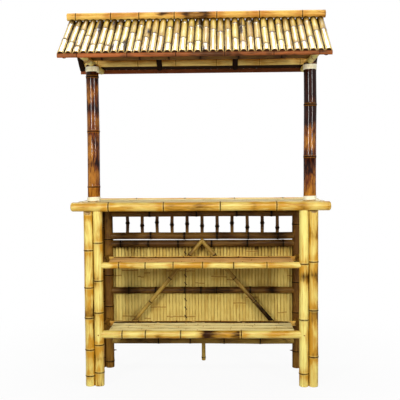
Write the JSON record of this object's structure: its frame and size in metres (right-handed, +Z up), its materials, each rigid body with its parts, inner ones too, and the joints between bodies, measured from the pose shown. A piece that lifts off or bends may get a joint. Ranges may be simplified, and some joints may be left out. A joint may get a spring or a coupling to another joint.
{
  "type": "tiki bar",
  "caption": "Free-standing bamboo bar: counter on paired legs, shelves for the server, slatted guest panel with a small gallery, and a gabled roof of half-round bamboo tiles on posts.",
  "frame": {"origin": "on the floor under the middle of the roof, at the bottom centre of the whole", "axes": "+Z up, +X along the counter to the server's right, +Y across the counter to the guests' side"},
  "size_m": [1.542, 0.657, 2.1832],
  "materials": {
    "cane_yellow": "varnished yellow cane with darker nodes",
    "cane_dark": "stained dark brown cane, glossy",
    "cane_amber": "flame-toned amber cane, varnished",
    "split_tile": "split pale yellow cane, glossy",
    "split_slat": "thin split cane, satin",
    "split_brown": "split brown cane, satin",
    "rattan": "pale rattan cord, matt"
  },
  "bodies": {
    "root": {"server_leg_left_outer": "cane_yellow", "server_leg_left_inner": "cane_yellow", "server_leg_right_inner": "cane_yellow", "server_leg_right_outer": "cane_yellow", "guest_leg_left_outer": "cane_yellow", "guest_leg_left_inner": "cane_yellow", "guest_leg_right_inner": "cane_yellow", "guest_leg_right_outer": "cane_yellow", "counter_server_pole": "cane_yellow", "counter_guest_pole": "cane_yellow", "counter_end_poles": "cane_yellow", "counter_bearers": "cane_yellow", "counter_battens": "cane_yellow", "upper_shelf_front_pole": "cane_yellow", "upper_shelf_back_pole": "cane_yellow", "upper_shelf_side_rails": "cane_yellow", "lower_shelf_front_pole": "cane_yellow", "lower_shelf_back_pole": "cane_yellow", "lower_shelf_side_rails": "cane_yellow", "gallery_top_rail": "cane_yellow", "gallery_bottom_rail": "cane_yellow", "gallery_balusters": "cane_yellow", "panel_top_rail": "cane_yellow", "panel_middle_rail": "cane_yellow", "panel_bottom_rail": "cane_yellow", "braces": "cane_yellow", "centre_stile": "cane_yellow", "cross_arms": "cane_yellow", "tie_beam": "cane_yellow", "ridge_beam": "cane_yellow", "purlins": "cane_yellow", "left_post": "cane_dark", "right_post": "cane_dark", "ridge_pole": "cane_amber", "server_tiles": "split_tile", "guest_tiles": "split_tile", "counter_deck": "split_slat", "upper_shelf_deck": "split_slat", "lower_shelf_deck": "split_slat", "shelf_battens": "split_slat", "panel_mats": "split_slat", "rafters": "split_brown", "eave_strips": "split_brown", "post_foot_bindings": "rattan", "post_head_bindings": "rattan"}
  },
  "joints": []
}
